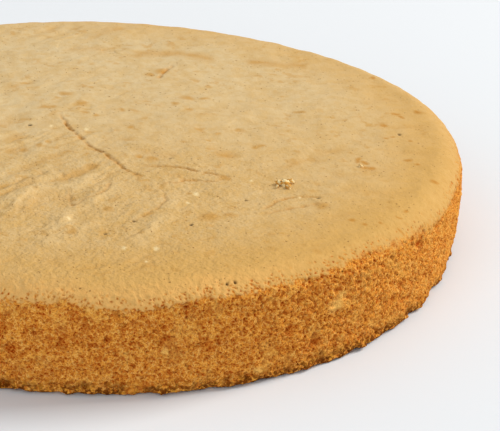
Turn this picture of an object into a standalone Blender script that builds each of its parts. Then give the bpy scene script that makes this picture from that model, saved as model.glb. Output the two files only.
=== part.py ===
"""A round sponge cake, baked in a tin and turned out, standing on its flat base.

Metres, +Z up. The origin is on the table under the middle of the cake, and its shown side faces -Y.
The cake is one solid. A turned profile gives its size, plan waves make it as uneven as a baked cake is,
and the relief is what the sponge shows: a creased skin on top, torn pores in the wall and a chipped foot.
"""

import math
import random

import bmesh
import bpy
import numpy as np
from mathutils import Vector, noise

# Driving sizes
RADIUS = 0.130
RIM_HEIGHT = 0.0365
DOME_RISE = 0.0005

# The profile's foot, wall and shoulder. A tight arc turns the wall in, and a wide one lays it flat.
FOOT_INSET = 0.0007
FOOT_ROUND = 0.0012
WALL_BULGE = 0.0006
CORNER_RADIUS = 0.0025
SHOULDER_RADIUS = 0.011
SHOULDER_TURN = math.radians(60)
CORNER_TURN = math.pi / 2 - SHOULDER_TURN
SHOULDER_WIDTH = SHOULDER_RADIUS * math.sin(SHOULDER_TURN) + CORNER_RADIUS * (1 - math.cos(CORNER_TURN))
SHOULDER_DROP = SHOULDER_RADIUS * (1 - math.cos(SHOULDER_TURN)) + CORNER_RADIUS * math.sin(CORNER_TURN)
FADE_WIDTH = 0.004  # how far either side of the top's edge the unevenness fades in

# How the plan departs from a circle: waves round the cake, height of the wave, direction of one peak
PLAN_WAVES = (
    (3, 0.0005, math.radians(31)),
    (4, 0.0007, math.radians(21)),
    (5, 0.0004, math.radians(16)),
)

# Soft swells of the skin and of the wall: length of a swell, and how far it moves the surface
TOP_SWELLS = ((0.045, 0.0007), (0.016, 0.0003))
WALL_SWELLS = ((0.030, 0.0006), (0.011, 0.0005))

# Creases of the skin, each a smooth line through points in the plan, and the depth and half width of each
LONG_CRACK = (
    (-0.0150, 0.0124),
    (-0.0110, -0.0015),
    (-0.0050, -0.0156),
    (0.0020, -0.0276),
    (0.0080, -0.0388),
    (0.0140, -0.0459),
)
UPPER_CREASE = ((0.0150, -0.0358), (0.0260, -0.0379), (0.0339, -0.0410), (0.0429, -0.0442))
MIDDLE_CREASE = ((0.0170, -0.0520), (0.0260, -0.0500), (0.0289, -0.0470), (0.0379, -0.0481), (0.0419, -0.0452))
NEAR_CREASE = ((-0.0090, -0.0693), (-0.0010, -0.0642), (0.0040, -0.0540))
RIGHT_FOLD = ((0.0538, -0.0688), (0.0588, -0.0628), (0.0638, -0.0598), (0.0717, -0.0600))
LOW_RIGHT_FOLD = ((0.0518, -0.0738), (0.0598, -0.0699), (0.0717, -0.0651))
FAR_NICK = ((0.0220, 0.0527), (0.0239, 0.0585), (0.0279, 0.0672))
FAR_FOLD = ((0.0588, 0.0733), (0.0408, 0.0804), (0.0309, 0.0806))
CREASES = (
    (0.0011, 0.0013, LONG_CRACK),
    (0.0010, 0.0013, UPPER_CREASE),
    (0.0008, 0.0013, MIDDLE_CREASE),
    (0.0007, 0.0014, NEAR_CREASE),
    (0.0010, 0.0015, RIGHT_FOLD),
    (0.0006, 0.0014, LOW_RIGHT_FOLD),
    (0.0009, 0.0015, FAR_NICK),
    (0.0007, 0.0015, FAR_FOLD),
)
CREASE_POINT_GAP = 0.0015
CREASE_LIP = 0.35  # the raised lip beside a crease, as a share of its depth
CREASE_REACH = 5.0  # how far from its line a crease moves the skin, in half widths

# Torn pores of the wall: how many, how deep, and how wide as a share of the gap between the wall's points
PORES = 230
PORE_DEPTH = (0.0008, 0.0021)
PORE_REACH = (0.22, 0.58)

# Chips out of the foot, where the base stuck to the tin: the deepest, and how far up the wall they reach
CHIP_DEPTH = 0.0021
CHIP_REACH = 0.006
SEED = 26

# Mesh sizes: points round the wall, which are halved on top, rows up the wall and over the shoulder
SECTORS = 6
TOP_RINGS = 15
WALL_POINTS = 2 * SECTORS * TOP_RINGS
WALL_ROWS = 7
SHOULDER_ROWS = 3
JITTER = 0.24  # how far a point of the wall strays, as a share of the gap between points
CREASE_EDGE = 0.0019  # how short the edges of the mesh are made near a crease
REFINING_PASSES = 3

# Points that the profile is worked out at, and the step that its slope is measured over
WALL_POINTS_ON_PROFILE = 24
CORNER_POINTS_ON_PROFILE = 6
SHOULDER_POINTS_ON_PROFILE = 12
TOP_POINTS_ON_PROFILE = 40
TOP_EDGE_POINT = WALL_POINTS_ON_PROFILE + CORNER_POINTS_ON_PROFILE + SHOULDER_POINTS_ON_PROFILE
SLOPE_STEP = 0.0005

SKIN_COLOUR = (0.70, 0.45, 0.19, 1.0)
CRUMB_COLOUR = (0.46, 0.17, 0.035, 1.0)
SKIN_LINE = RIM_HEIGHT - 0.0045


def cleared_scene():
    for old in list(bpy.data.objects):
        bpy.data.objects.remove(old)


def profile():
    """The profile from the base's edge up to the middle of the top: distance run, radius and height."""
    wall_top = RIM_HEIGHT - SHOULDER_DROP
    points = [(RADIUS - FOOT_INSET - FOOT_ROUND, 0.0)]
    for t in np.linspace(0.0, 1.0, WALL_POINTS_ON_PROFILE):
        height = FOOT_ROUND + (wall_top - FOOT_ROUND) * t
        points.append((RADIUS - FOOT_INSET * (1 - t) + WALL_BULGE * math.sin(math.pi * t), height))
    top_radius = RADIUS - SHOULDER_WIDTH
    for turn in np.linspace(0.0, CORNER_TURN, CORNER_POINTS_ON_PROFILE + 1)[1:]:
        points.append((RADIUS - CORNER_RADIUS * (1 - math.cos(turn)), wall_top + CORNER_RADIUS * math.sin(turn)))
    for turn in np.linspace(SHOULDER_TURN, 0.0, SHOULDER_POINTS_ON_PROFILE + 1)[1:]:
        radius = top_radius + SHOULDER_RADIUS * math.sin(turn)
        points.append((radius, RIM_HEIGHT - SHOULDER_RADIUS * (1 - math.cos(turn))))
    for share in np.linspace(1.0, 0.0, TOP_POINTS_ON_PROFILE)[1:]:
        points.append((top_radius * share, RIM_HEIGHT + DOME_RISE * (1 - share**2)))
    radius, height = np.array(points).T
    run = np.concatenate([[0.0], np.cumsum(np.hypot(np.diff(radius), np.diff(height)))])
    return run, radius, height


RUN, PROFILE_RADIUS, PROFILE_HEIGHT = profile()
RUN_AT_WALL_TOP = float(RUN[WALL_POINTS_ON_PROFILE])
RUN_AT_TOP_EDGE = float(RUN[TOP_EDGE_POINT])


def plan_scale(angle):
    return 1 + sum(size * math.cos(count * (angle - peak)) for count, size, peak in PLAN_WAVES) / RADIUS


def smooth_line(points, gap):
    """Points a gap apart on a Catmull-Rom curve through the given ones."""
    inner = [Vector(point) for point in points]
    through = [2 * inner[0] - inner[1], *inner, 2 * inner[-1] - inner[-2]]
    line = []
    for a, b, c, d in zip(through, through[1:], through[2:], through[3:]):
        steps = max(1, round((c - b).length / gap))
        square = 2 * a - 5 * b + 4 * c - d
        cube = 3 * b - a - 3 * c + d
        for step in range(steps):
            t = step / steps
            line.append((2 * b + (c - a) * t + square * t**2 + cube * t**3) / 2)
    return np.array([*line, inner[-1]])


CREASE_LINES = [(depth, width, smooth_line(points, CREASE_POINT_GAP)) for depth, width, points in CREASES]


def crease_distance(x, y):
    """The distance to the nearest crease, with that crease's depth and half width."""
    found = []
    for depth, width, line in CREASE_LINES:
        distance = float(np.hypot(line[:, 0] - x, line[:, 1] - y).min())
        found.append((distance / width, depth))
    return min(found)


def swell(place, swells):
    """A smooth unevenness at a place: each swell has its own length and size."""
    return sum(size * noise.noise(place / length) for length, size in swells)


def relief(run, place):
    """How far the surface lies outside the turned form, along its normal."""
    fade = min(1.0, abs(run - RUN_AT_TOP_EDGE) / FADE_WIDTH)
    if run < RUN_AT_TOP_EDGE:
        return fade * swell(place, WALL_SWELLS)
    near, depth = crease_distance(place.x, place.y)
    valley = depth * math.exp(-(near**2)) - CREASE_LIP * depth * math.exp(-((near - 2.0) ** 2))
    return fade * (swell(place, TOP_SWELLS) - valley)


def run_at(place):
    """The distance run along the profile at a point of the turned form."""
    if place.z < RIM_HEIGHT - 1e-6:
        return float(np.interp(place.z, PROFILE_HEIGHT[: TOP_EDGE_POINT + 1], RUN[: TOP_EDGE_POINT + 1]))
    radius = math.hypot(place.x, place.y)
    return float(np.interp(-radius, -PROFILE_RADIUS[TOP_EDGE_POINT:], RUN[TOP_EDGE_POINT:]))


def settled(place, pressed):
    """Where a point of the turned form lies on the real cake, pressed in by a pore or a chip."""
    angle = math.atan2(place.y, place.x)
    run = run_at(place)
    height = float(np.interp(run, RUN, PROFILE_HEIGHT))
    radius = float(np.interp(run, RUN, PROFILE_RADIUS)) * plan_scale(angle)
    ahead, behind = min(run + SLOPE_STEP, RUN[-1]), max(run - SLOPE_STEP, 0.0)
    rise = np.interp(ahead, RUN, PROFILE_HEIGHT) - np.interp(behind, RUN, PROFILE_HEIGHT)
    inward = np.interp(behind, RUN, PROFILE_RADIUS) - np.interp(ahead, RUN, PROFILE_RADIUS)
    tilt = math.atan2(inward, rise) if place.z > 2 * FOOT_ROUND else 0.0
    moved = relief(run, Vector((radius * math.cos(angle), radius * math.sin(angle), height))) - pressed
    out = radius + moved * math.cos(tilt)
    return Vector((out * math.cos(angle), out * math.sin(angle), height + moved * math.sin(tilt)))


def ring(cake, count, run, turned=0.0):
    """One ring of points round the turned form, turned by a share of the gap between them."""
    radius = float(np.interp(run, RUN, PROFILE_RADIUS))
    height = float(np.interp(run, RUN, PROFILE_HEIGHT))
    angles = [(step + turned) * math.tau / count for step in range(count)]
    return [cake.verts.new((radius * math.cos(a), radius * math.sin(a), height)) for a in angles]


def join_zigzag(cake, lower, upper, upper_is_turned):
    """Joins two rings of as many points, one of which is turned by half a gap, in a row of triangles."""
    for step in range(len(lower)):
        after = (step + 1) % len(lower)
        if upper_is_turned:
            cake.faces.new((lower[step], lower[after], upper[step]))
            cake.faces.new((upper[step], lower[after], upper[after]))
        else:
            cake.faces.new((lower[step], upper[after], upper[step]))
            cake.faces.new((lower[step], lower[after], upper[after]))


def join_halved(cake, outer, inner):
    """Joins a ring to the next one in, which has half as many points."""
    for step, near in enumerate(inner):
        before, middle, after = outer[2 * step - 1], outer[2 * step], outer[(2 * step + 1) % len(outer)]
        cake.faces.new((before, middle, near))
        cake.faces.new((middle, after, near))
        cake.faces.new((after, inner[(step + 1) % len(inner)], near))


def join_shrinking(cake, outer, inner):
    """Joins a ring of 6n points to the next one in, which has 6 fewer, in even triangles."""
    count = len(outer) // SECTORS
    for sector in range(SECTORS):
        for step in range(count):
            outer_at = sector * count + step
            inner_at = sector * (count - 1) + step
            first, second = outer[outer_at], outer[(outer_at + 1) % len(outer)]
            near = inner[inner_at % len(inner)]
            cake.faces.new((first, second, near))
            if step < count - 1:
                cake.faces.new((near, second, inner[(inner_at + 1) % len(inner)]))


def jittered(rings, draw):
    """Moves the wall's points off their even grid, so that no two cells of the crumb are alike."""
    for points in rings:
        for point in points:
            turn = draw.uniform(-JITTER, JITTER) * math.tau / WALL_POINTS
            x, y = point.co.x, point.co.y
            point.co.x = x * math.cos(turn) - y * math.sin(turn)
            point.co.y = x * math.sin(turn) + y * math.cos(turn)
            point.co.z += draw.uniform(-JITTER, JITTER) * RUN_AT_WALL_TOP / WALL_ROWS


def press_chips(rings, pressed, draw):
    """Presses the foot in, more at some points than at others, fading up the wall."""
    depths = [CHIP_DEPTH * draw.random() ** 3 for _ in range(WALL_POINTS)]
    for points in rings:
        for point, depth in zip(points, depths):
            point[pressed] = depth * max(0.0, 1 - point.co.z / CHIP_REACH)


def press_pores(points, pressed, draw):
    """Opens a pore round some points of the wall, never at two neighbours, each with an uneven rim."""
    taken = set()
    for middle in draw.sample(points, len(points)):
        if len(taken) == PORES:
            break
        if any(edge.other_vert(middle) in taken for edge in middle.link_edges):
            continue
        taken.add(middle)
    for middle in points:
        if middle not in taken:
            continue
        spokes = list(middle.link_edges)
        rim = [bmesh.utils.edge_split(spoke, middle, draw.uniform(*PORE_REACH))[1] for spoke in spokes]
        for face in list(middle.link_faces):
            first, second = [corner for corner in face.verts if corner in rim]
            bmesh.utils.face_split(face, first, second)
        middle[pressed] += draw.uniform(*PORE_DEPTH)


def turned_body():
    """The turned form as one closed mesh, each point knowing how far a pore or a chip presses it in."""
    draw = random.Random(SEED)
    cake = bmesh.new()
    pressed = cake.verts.layers.float.new("pressed")
    wall_runs = np.linspace(RUN[1], RUN_AT_WALL_TOP, WALL_ROWS + 1)
    shoulder_runs = np.linspace(RUN_AT_WALL_TOP, RUN_AT_TOP_EDGE, SHOULDER_ROWS + 1)[1:]
    runs = (RUN[0], *wall_runs, *shoulder_runs)
    rings = [ring(cake, WALL_POINTS, run, 0.5 * (row % 2)) for row, run in enumerate(runs)]
    crumb_rings = rings[2 : WALL_ROWS + 2]
    jittered(crumb_rings, draw)
    press_chips(rings[: WALL_ROWS // 2], pressed, draw)
    cake.faces.new(reversed(rings[0]))
    for row, (lower, upper) in enumerate(zip(rings, rings[1:])):
        join_zigzag(cake, lower, upper, upper_is_turned=row % 2 == 0)
    outer = rings[-1]
    for count in range(TOP_RINGS, 0, -1):
        run = RUN[-1] - (RUN[-1] - RUN_AT_TOP_EDGE) * count / (TOP_RINGS + 1)
        inner = ring(cake, SECTORS * count, run)
        join = join_halved if count == TOP_RINGS else join_shrinking
        join(cake, outer, inner)
        outer = inner
    middle = cake.verts.new((0.0, 0.0, RIM_HEIGHT + DOME_RISE))
    for step, point in enumerate(outer):
        cake.faces.new((point, outer[(step + 1) % len(outer)], middle))
    cake.normal_update()
    press_pores([point for points in crumb_rings for point in points], pressed, draw)
    return cake, pressed


def refine_creases(cake):
    """Splits the edges of the top that lie near a crease until they are short enough to draw it."""
    for _ in range(REFINING_PASSES):
        long_edges = []
        for edge in cake.edges:
            middle = (edge.verts[0].co + edge.verts[1].co) / 2
            if middle.z < RIM_HEIGHT or run_at(middle) < RUN_AT_TOP_EDGE + FADE_WIDTH:
                continue
            near, _ = crease_distance(middle.x, middle.y)
            if near < CREASE_REACH and edge.calc_length() > CREASE_EDGE * max(1.0, near / 1.5):
                long_edges.append(edge)
        bmesh.ops.subdivide_edges(cake, edges=long_edges, cuts=1)
        bmesh.ops.triangulate(cake, faces=[face for face in cake.faces if face.normal.z > 0.5])
        cake.normal_update()


def centred(cake):
    """Moves the cake so that the origin is under the middle of its outline."""
    for axis in (0, 1):
        values = [v.co[axis] for v in cake.verts]
        middle = (min(values) + max(values)) / 2
        for v in cake.verts:
            v.co[axis] -= middle


def material(name, colour, roughness):
    made = bpy.data.materials.new(name)
    made.use_nodes = True
    shader = made.node_tree.nodes["Principled BSDF"]
    shader.inputs["Base Color"].default_value = colour
    shader.inputs["Roughness"].default_value = roughness
    shader.inputs["Metallic"].default_value = 0.0
    return made


def sponge_cake():
    cake, pressed = turned_body()
    refine_creases(cake)
    for v in cake.verts:
        v.co = settled(v.co, v[pressed])
    bmesh.ops.triangulate(cake, faces=cake.faces)
    centred(cake)
    bmesh.ops.recalc_face_normals(cake, faces=cake.faces)
    mesh = bpy.data.meshes.new("sponge_cake")
    cake.to_mesh(mesh)
    cake.free()
    mesh.materials.append(material("baked skin", SKIN_COLOUR, 0.55))
    mesh.materials.append(material("sponge crumb", CRUMB_COLOUR, 0.85))
    for face in mesh.polygons:
        face.material_index = 0 if face.center.z > SKIN_LINE else 1
    mesh.shade_smooth()
    mesh.set_sharp_from_angle(angle=math.radians(50))
    placed = bpy.data.objects.new("sponge_cake", mesh)
    bpy.context.scene.collection.objects.link(placed)
    return placed


cleared_scene()
sponge_cake()
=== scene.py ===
"""The looks of the sponge cake: skin and open crumb in fine relief, loose crumbs, floor, light and camera.

The fine surface stands for the plain solid. It is worked out from the same profile, plan and creases, in
rings of points. Each point carries facts, such as how open and how toasted the sponge is there, which the
material then colours. All unevenness comes from smooth noise, in which a channel picks one set of numbers.
"""

import itertools
import math
from types import SimpleNamespace

import bmesh
import bpy
import numpy as np
from mathutils import Matrix, Vector


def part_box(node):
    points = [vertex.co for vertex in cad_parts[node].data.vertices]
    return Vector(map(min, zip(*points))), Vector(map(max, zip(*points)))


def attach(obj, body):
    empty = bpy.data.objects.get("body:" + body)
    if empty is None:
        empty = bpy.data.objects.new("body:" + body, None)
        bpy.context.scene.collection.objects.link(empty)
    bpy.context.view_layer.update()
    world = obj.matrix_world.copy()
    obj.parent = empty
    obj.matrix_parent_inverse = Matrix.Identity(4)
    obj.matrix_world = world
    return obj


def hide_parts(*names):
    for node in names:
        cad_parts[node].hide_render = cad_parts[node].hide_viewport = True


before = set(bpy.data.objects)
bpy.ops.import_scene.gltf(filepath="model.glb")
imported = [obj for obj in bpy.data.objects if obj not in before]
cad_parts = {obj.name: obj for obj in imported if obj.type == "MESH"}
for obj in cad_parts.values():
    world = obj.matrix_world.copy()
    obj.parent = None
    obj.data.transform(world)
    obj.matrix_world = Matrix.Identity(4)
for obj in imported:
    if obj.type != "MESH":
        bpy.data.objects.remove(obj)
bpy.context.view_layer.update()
LOW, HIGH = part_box("sponge_cake")

# The solid's own sizes
RADIUS = 0.130
RIM_HEIGHT = 0.0365
DOME_RISE = 0.0005
FOOT_INSET = 0.0007
FOOT_ROUND = 0.0012
WALL_BULGE = 0.0006
CORNER_RADIUS = 0.0025
SHOULDER_RADIUS = 0.011
SHOULDER_TURN = math.radians(60)
CORNER_TURN = math.pi / 2 - SHOULDER_TURN
SHOULDER_WIDTH = SHOULDER_RADIUS * math.sin(SHOULDER_TURN) + CORNER_RADIUS * (1 - math.cos(CORNER_TURN))
SHOULDER_DROP = SHOULDER_RADIUS * (1 - math.cos(SHOULDER_TURN)) + CORNER_RADIUS * math.sin(CORNER_TURN)

# How the plan departs from a circle: waves round the cake, height of the wave, direction of one peak
PLAN_WAVES = (
    (3, 0.0005, math.radians(31)),
    (4, 0.0007, math.radians(21)),
    (5, 0.0004, math.radians(16)),
)

# Points that the profile is worked out at
WALL_POINTS = 24
CORNER_POINTS = 8
SHOULDER_POINTS = 24
TOP_POINTS = 60

# Size of a mesh cell on each stretch of the surface, and how much it grows for each metre off the wall
WALL_CELL = 0.00038
TOP_CELL = 0.00047
OUTER_TOP_CELL = 0.00058
OUTER_TOP_WIDTH = 0.030
OUTER_TOP_GROWTH = 0.05
BASE_CELL = 0.0014
BASE_GROWTH = 0.1
LEAST_IN_RING = 6
LAST_RING_GAP = 1.5  # between the last ring and the middle of the top, in cells
NORMAL_REACH = 0.0005  # either side of a place on the profile, for its slope
UNDERSIDE_BORDER = 0.004  # how far under the foot the wall's pieces meet the underside's
SWELL_SCALE = 3.4  # brings smooth noise to about -1 to 1

# The skin's lower edge: direction round the cake in degrees, and height, where the photograph shows it
SKIN_EDGE = (
    (-103, 0.0306),
    (-94, 0.0314),
    (-90, 0.0299),
    (-85, 0.0292),
    (-80, 0.0308),
    (-76, 0.0320),
    (-62, 0.0325),
    (-52, 0.0334),
    (-47, 0.0332),
    (-39, 0.0320),
    (-34, 0.0308),
    (-29, 0.0300),
)
SKIN_EDGE_BLEND = 12  # degrees past the shown edge in which it turns into the hidden one
HIDDEN_SKIN_EDGE = 0.0314
EDGE_SOFTNESS = 0.0005
RIGHT_EDGE_SOFTNESS = 0.0015  # how much softer it is at the right
SKIN_THICKNESS = 0.00025

# Smooth unevenness, each swell with its length, how far it moves what it acts on, and its channel
HIDDEN_EDGE_SWELLS = ((0.22, 0.0009, 70),)
EDGE_SWELLS = ((0.0050, 0.0009, 1), (0.0017, 0.0013, 4))
EDGE_FRAY = ((0.0009, 0.0009, 7),)
CRUMB_TEARS = ((0.004, 0.0003, 25), (0.0014, 0.00022, 28))
WALL_SWELLS = ((0.030, 0.0006, 31), (0.011, 0.0004, 34))
TOP_SWELLS = ((0.045, 0.0007, 48), (0.015, 0.0004, 51))
SKIN_SWELLS = ((0.0055, 0.00022, 54),)
RIGHT_WRINKLES_START = ((0.03, 0.02, 89),)
WALL_SPOT_SWELLS = ((0.0017, 0.45, 130),)
SMALL_CHIPS = ((0.0035, 0.0011, 40),)
LUMP_SWELLS = ((0.7, 0.40), (0.28, 0.26))  # length and size of each, in radii of a loose crumb

# How lines and spots are bent out of true: length of a bend, size and channel
LINE_BEND = (0.004, 0.0005, 60)
SOFT_LINE_BEND = (0.004, 0.0015, 60)
PORE_BEND = (0.0021, 0.0005, 83)
STAIN_BEND = (0.0035, 0.0012, 140)

# Pores of the crumb: size of the cells that they lie in, share of the cells that hold one, and channel
FINE_PORES = (0.0012, 0.97, 10)
MEDIUM_PORES = (0.0022, 0.30, 15)
LARGE_PORES = (0.0055, 0.07, 20)
BLISTERS = (0.012, 0.25, 45)
LEAST_PORE = 0.35  # the smallest radius of a pore, and how much larger they get, in cells
PORE_RANGE = 0.35
EDGE_PIT_CELL = 0.0010
EDGE_PIT_CHANNEL = 80
LARGER_PORES_SQUEEZE = np.array([[1], [1], [1.2]])  # they are lower than they are wide

# How deep each mark of the surface is
FINE_PORE_DEPTH = 0.00062
MEDIUM_PORE_DEPTH = 0.0006
HOLLOW_DEPTH = 0.0009
CHIP_DEPTH = 0.0020
FOOT_PIT_DEPTH = 0.0012
PINHOLE_DEPTH = 0.0006
BLISTER_DEPTH = 0.00025
EDGE_PIT_DEPTH = 0.00035
GRAIN_DEPTH = 0.00005
ROUGH_GRAIN_DEPTH = 0.00012

# Length and channel of the swells that set the foot's chips and the skin's grain
CHIPS = (0.009, 37)
CHIP_EXCESS = 0.1  # added to the swells, so that more than half of the foot is chipped
GRAIN = (0.0017, 57)

# How a line of the skin comes and goes: length, channel, size, least and most, about a mean
CREASE_PATCHES = (0.0024, 66, 0.9, 0.1, 1.3)
SOFT_LINE_PATCHES = (0.006, 160, 0.5, 0.2, 1.2)
PATCHES_MEAN = 0.8
CREASE_END = 0.35  # what is left of a crease at its ends

# How much of something is lost, or is left, where it is weakest
PORES_LOST_AT_RIGHT = 0.25
PORES_LOST_BELOW = 0.6
ROUGHNESS_LOST_AT_RIGHT = 0.6
WRINKLES_LOST_AT_RIGHT = 0.55
WRINKLES_LOST_AT_BACK = 0.5
RELIEF_LOST_IN_MIDDLE = 0.5
EDGE_PITS_LEFT_AT_RIGHT = 0.35
BAKED_RIM_LEFT_AT_LEFT = 0.5

# Share of the cells that hold a pit of the skin's edge, far from it and how much more at it
EDGE_PIT_SHARE = 0.25
EDGE_PIT_SHARE_MORE = 0.70
WORN_PIT = (0.15, 0.75)  # depth in a pit at which the crumb starts to show, and is all that shows

# How much each kind of pore counts in the crumb's colour, as painted shade in the pores
FINE_PORE_SHADE = 0.80
MEDIUM_PORE_SHADE = 0.30
HOLLOW_SHADE = 0.6
WORN_SHADE = 0.3

# Where something sets in and where it is full: to the right (x), or away from the camera (y)
SOFT_EDGE_X = (0.060, 0.100)
SHALLOW_PORES_X = (0.060, 0.110)
PITTED_EDGE_X = (0.110, 0.050)
SMOOTH_SKIN_X = (0.02, 0.08)
ROUGH_SKIN_Y = (0.03, -0.07)
RIGHT_WRINKLES_X = (-0.01, 0.05)
CALM_WRINKLES_Y = (-0.02, 0.05)
BROWNED_EDGE_X = (0.03, 0.08)
BAKED_RIM_X = (-0.04, 0.03)
# where the browner front sets in against the back's painted sheen, and where it is full
UNSHEENED_FRONT_Y = (0.08, -0.12)

# The same along the profile, from the foot, from the top's edge, above the skin's edge, or above the table
UNDERSIDE_RUN = (0.004, -0.001)
CHIPPED_RUN = (-0.008, 0.0)
CHIPPED_HEIGHT = (0.0070, 0.0005)
FOOT_HEIGHT = (0.0065, 0.0010)
TOP_RUN = (-0.003, 0.006)
BAKED_RIM_RUN = (0.030, 0.0)
PITTED_ABOVE_EDGE = (0.0060, 0.0005)
BROWNED_ABOVE_EDGE = (0.009, 0.0)
# where the painted light above the skin's edge sets in and is full
LIT_ABOVE_EDGE = (0.012, 0.002)
CALM_MIDDLE_RUN = (0.004, 0.0)

# Directions that the skin's wrinkles run in, on the left and on the right
LEFT_WRINKLES = math.radians(54)
RIGHT_WRINKLES = math.radians(6)
WRINKLE_CHANNELS = (90, 110)
WRINKLES = ((0.0065, 0.00085, 0), (0.0026, 0.00042, 10))  # gap, height, and channel past the side's own
WRINKLE_STRETCH = 4
WRINKLE_BEND = 4.5  # length of the wrinkles' bends, and of the patches that they come in, in gaps
WRINKLE_PATCH = 7
WRINKLES_SET_IN = (-0.5, 0.5)

# Creases of the skin, each a smooth line through points in the plan
LONG_CRACK = (
    (-0.0150, 0.0124),
    (-0.0110, -0.0015),
    (-0.0050, -0.0156),
    (0.0020, -0.0276),
    (0.0080, -0.0388),
    (0.0140, -0.0459),
)
UPPER_CREASE = ((0.0150, -0.0358), (0.0260, -0.0379), (0.0339, -0.0410), (0.0429, -0.0442))
MIDDLE_CREASE = (
    (0.0170, -0.0520),
    (0.0260, -0.0500),
    (0.0289, -0.0470),
    (0.0379, -0.0481),
    (0.0419, -0.0452),
)
NEAR_CREASE = (
    (-0.0100, -0.0578),
    (-0.0087, -0.0698),
    (-0.0049, -0.0665),
    (-0.0011, -0.0632),
    (0.0021, -0.0581),
    (0.0034, -0.0498),
)
BRANCH_CREASE = ((0.0214, -0.0582), (0.0209, -0.0671), (0.0168, -0.0744), (0.0107, -0.0816))
SMALL_CRACK = ((0.0055, -0.0855), (0.0069, -0.0862), (0.0084, -0.0884))
RIGHT_FOLD = ((0.0538, -0.0688), (0.0588, -0.0628), (0.0638, -0.0598), (0.0717, -0.0600))
LOW_RIGHT_FOLD = ((0.0518, -0.0738), (0.0598, -0.0699), (0.0717, -0.0651))
FAR_NICK = ((0.0220, 0.0527), (0.0239, 0.0585), (0.0279, 0.0672))
CURL = ((0.0149, -0.1083), (0.0158, -0.1118), (0.0166, -0.1151))
SHORT_CREASE = ((-0.0130, -0.0428), (-0.0090, -0.0499))
SHORTER_CREASE = ((-0.0200, -0.0409), (-0.0190, -0.0459))
FAR_DASH = ((0.0120, -0.0297), (0.0170, -0.0287))

# Depth and half width of each crease
CREASES = (
    (0.0007, 0.00072, LONG_CRACK),
    (0.0006, 0.00070, UPPER_CREASE),
    (0.0005, 0.00065, MIDDLE_CREASE),
    (0.0004, 0.00070, NEAR_CREASE),
    (0.0003, 0.00060, BRANCH_CREASE),
    (0.0004, 0.00045, SMALL_CRACK),
    (0.0003, 0.00060, SHORT_CREASE),
    (0.0003, 0.00060, SHORTER_CREASE),
    (0.0006, 0.00070, RIGHT_FOLD),
    (0.0004, 0.00080, LOW_RIGHT_FOLD),
    (0.0003, 0.00060, FAR_DASH),
    (0.0006, 0.00090, FAR_NICK),
    (0.0004, 0.00050, CURL),
)
# depth of a crease at which its painted shade is full
FULLY_SHADED_DEPTH = 0.0008
CREASE_LIP = 0.35  # the raised lip beside a crease, as a share of its depth
LIP_PLACE = 2.2  # in half widths of the crease
LIP_WIDTH = 1.1
LINE_POINT_GAP = 0.0006
LINE_MARGIN = 0.008
LINE_TAPER = 0.12  # the share of a line at each end in which it fades

# Raised folds on the left of the skin: height, half width, and points in the plan
LEFT_RIDGE = (
    (-0.0311, -0.0807),
    (-0.0254, -0.0680),
    (-0.0220, -0.0566),
    (-0.0178, -0.0464),
    (-0.0126, -0.0427),
)
LONG_RIDGE = (
    (-0.0177, -0.1037),
    (-0.0127, -0.0876),
    (-0.0093, -0.0753),
    (-0.0030, -0.0673),
    (0.0041, -0.0589),
)
RIGHT_RIDGE = ((0.0095, -0.1029), (0.0165, -0.0881), (0.0213, -0.0742), (0.0231, -0.0581))
FAR_RIDGE = ((-0.0156, -0.0530), (-0.0090, -0.0545), (-0.0033, -0.0441), (0.0027, -0.0369))
RIDGES = (
    (0.0009, 0.0030, LEFT_RIDGE),
    (0.0009, 0.0032, LONG_RIDGE),
    (0.0007, 0.0032, RIGHT_RIDGE),
    (0.0006, 0.0026, FAR_RIDGE),
)
# the folds' colour is painted shade in their valleys and painted light on their crests
FOLD_RANGE = 0.0014  # height from the lowest to the highest folds, for their colour

# How brown the skin is at its edge, and how the line between the browner front and the back's painted sheen
# slants on the left and on the right
BROWNED_EDGE = 0.6
SHEEN_LINE_SLANTS = (0.8, 0.5)

# Golden bands of the skin: strength, half width, and points in the plan
BANDS = (
    (0.8, 0.0034, ((0.0101, 0.0781), (0.0193, 0.0825), (0.0281, 0.0831), (0.0368, 0.0801), (0.0461, 0.0758))),
    (0.9, 0.0030, ((0.0557, 0.0753), (0.0655, 0.0737), (0.0747, 0.0732), (0.0822, 0.0726))),
    (0.5, 0.0030, ((-0.0161, 0.0850), (-0.0054, 0.0870), (0.0053, 0.0865))),
    (0.5, 0.0020, ((0.0608, -0.0374), (0.0688, -0.0296), (0.0798, -0.0198), (0.0877, -0.0181))),
    (0.5, 0.0022, ((-0.0319, -0.0664), (-0.0259, -0.0541), (-0.0200, -0.0480))),
    (0.4, 0.0022, ((-0.0309, -0.0838), (-0.0249, -0.0745), (-0.0180, -0.0622), (-0.0130, -0.0581))),
)

# Soft bumps of the skin: place in the plan, radius and height
PILLOWS = (
    (-0.0030, -0.0540, 0.0120, 0.0005),
    (-0.0080, -0.0850, 0.0120, 0.0004),
    (-0.0220, -0.0660, 0.0130, 0.0004),
    (0.0220, -0.0490, 0.0070, 0.0003),
    (0.0070, -0.0600, 0.0080, 0.0003),
)
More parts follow.
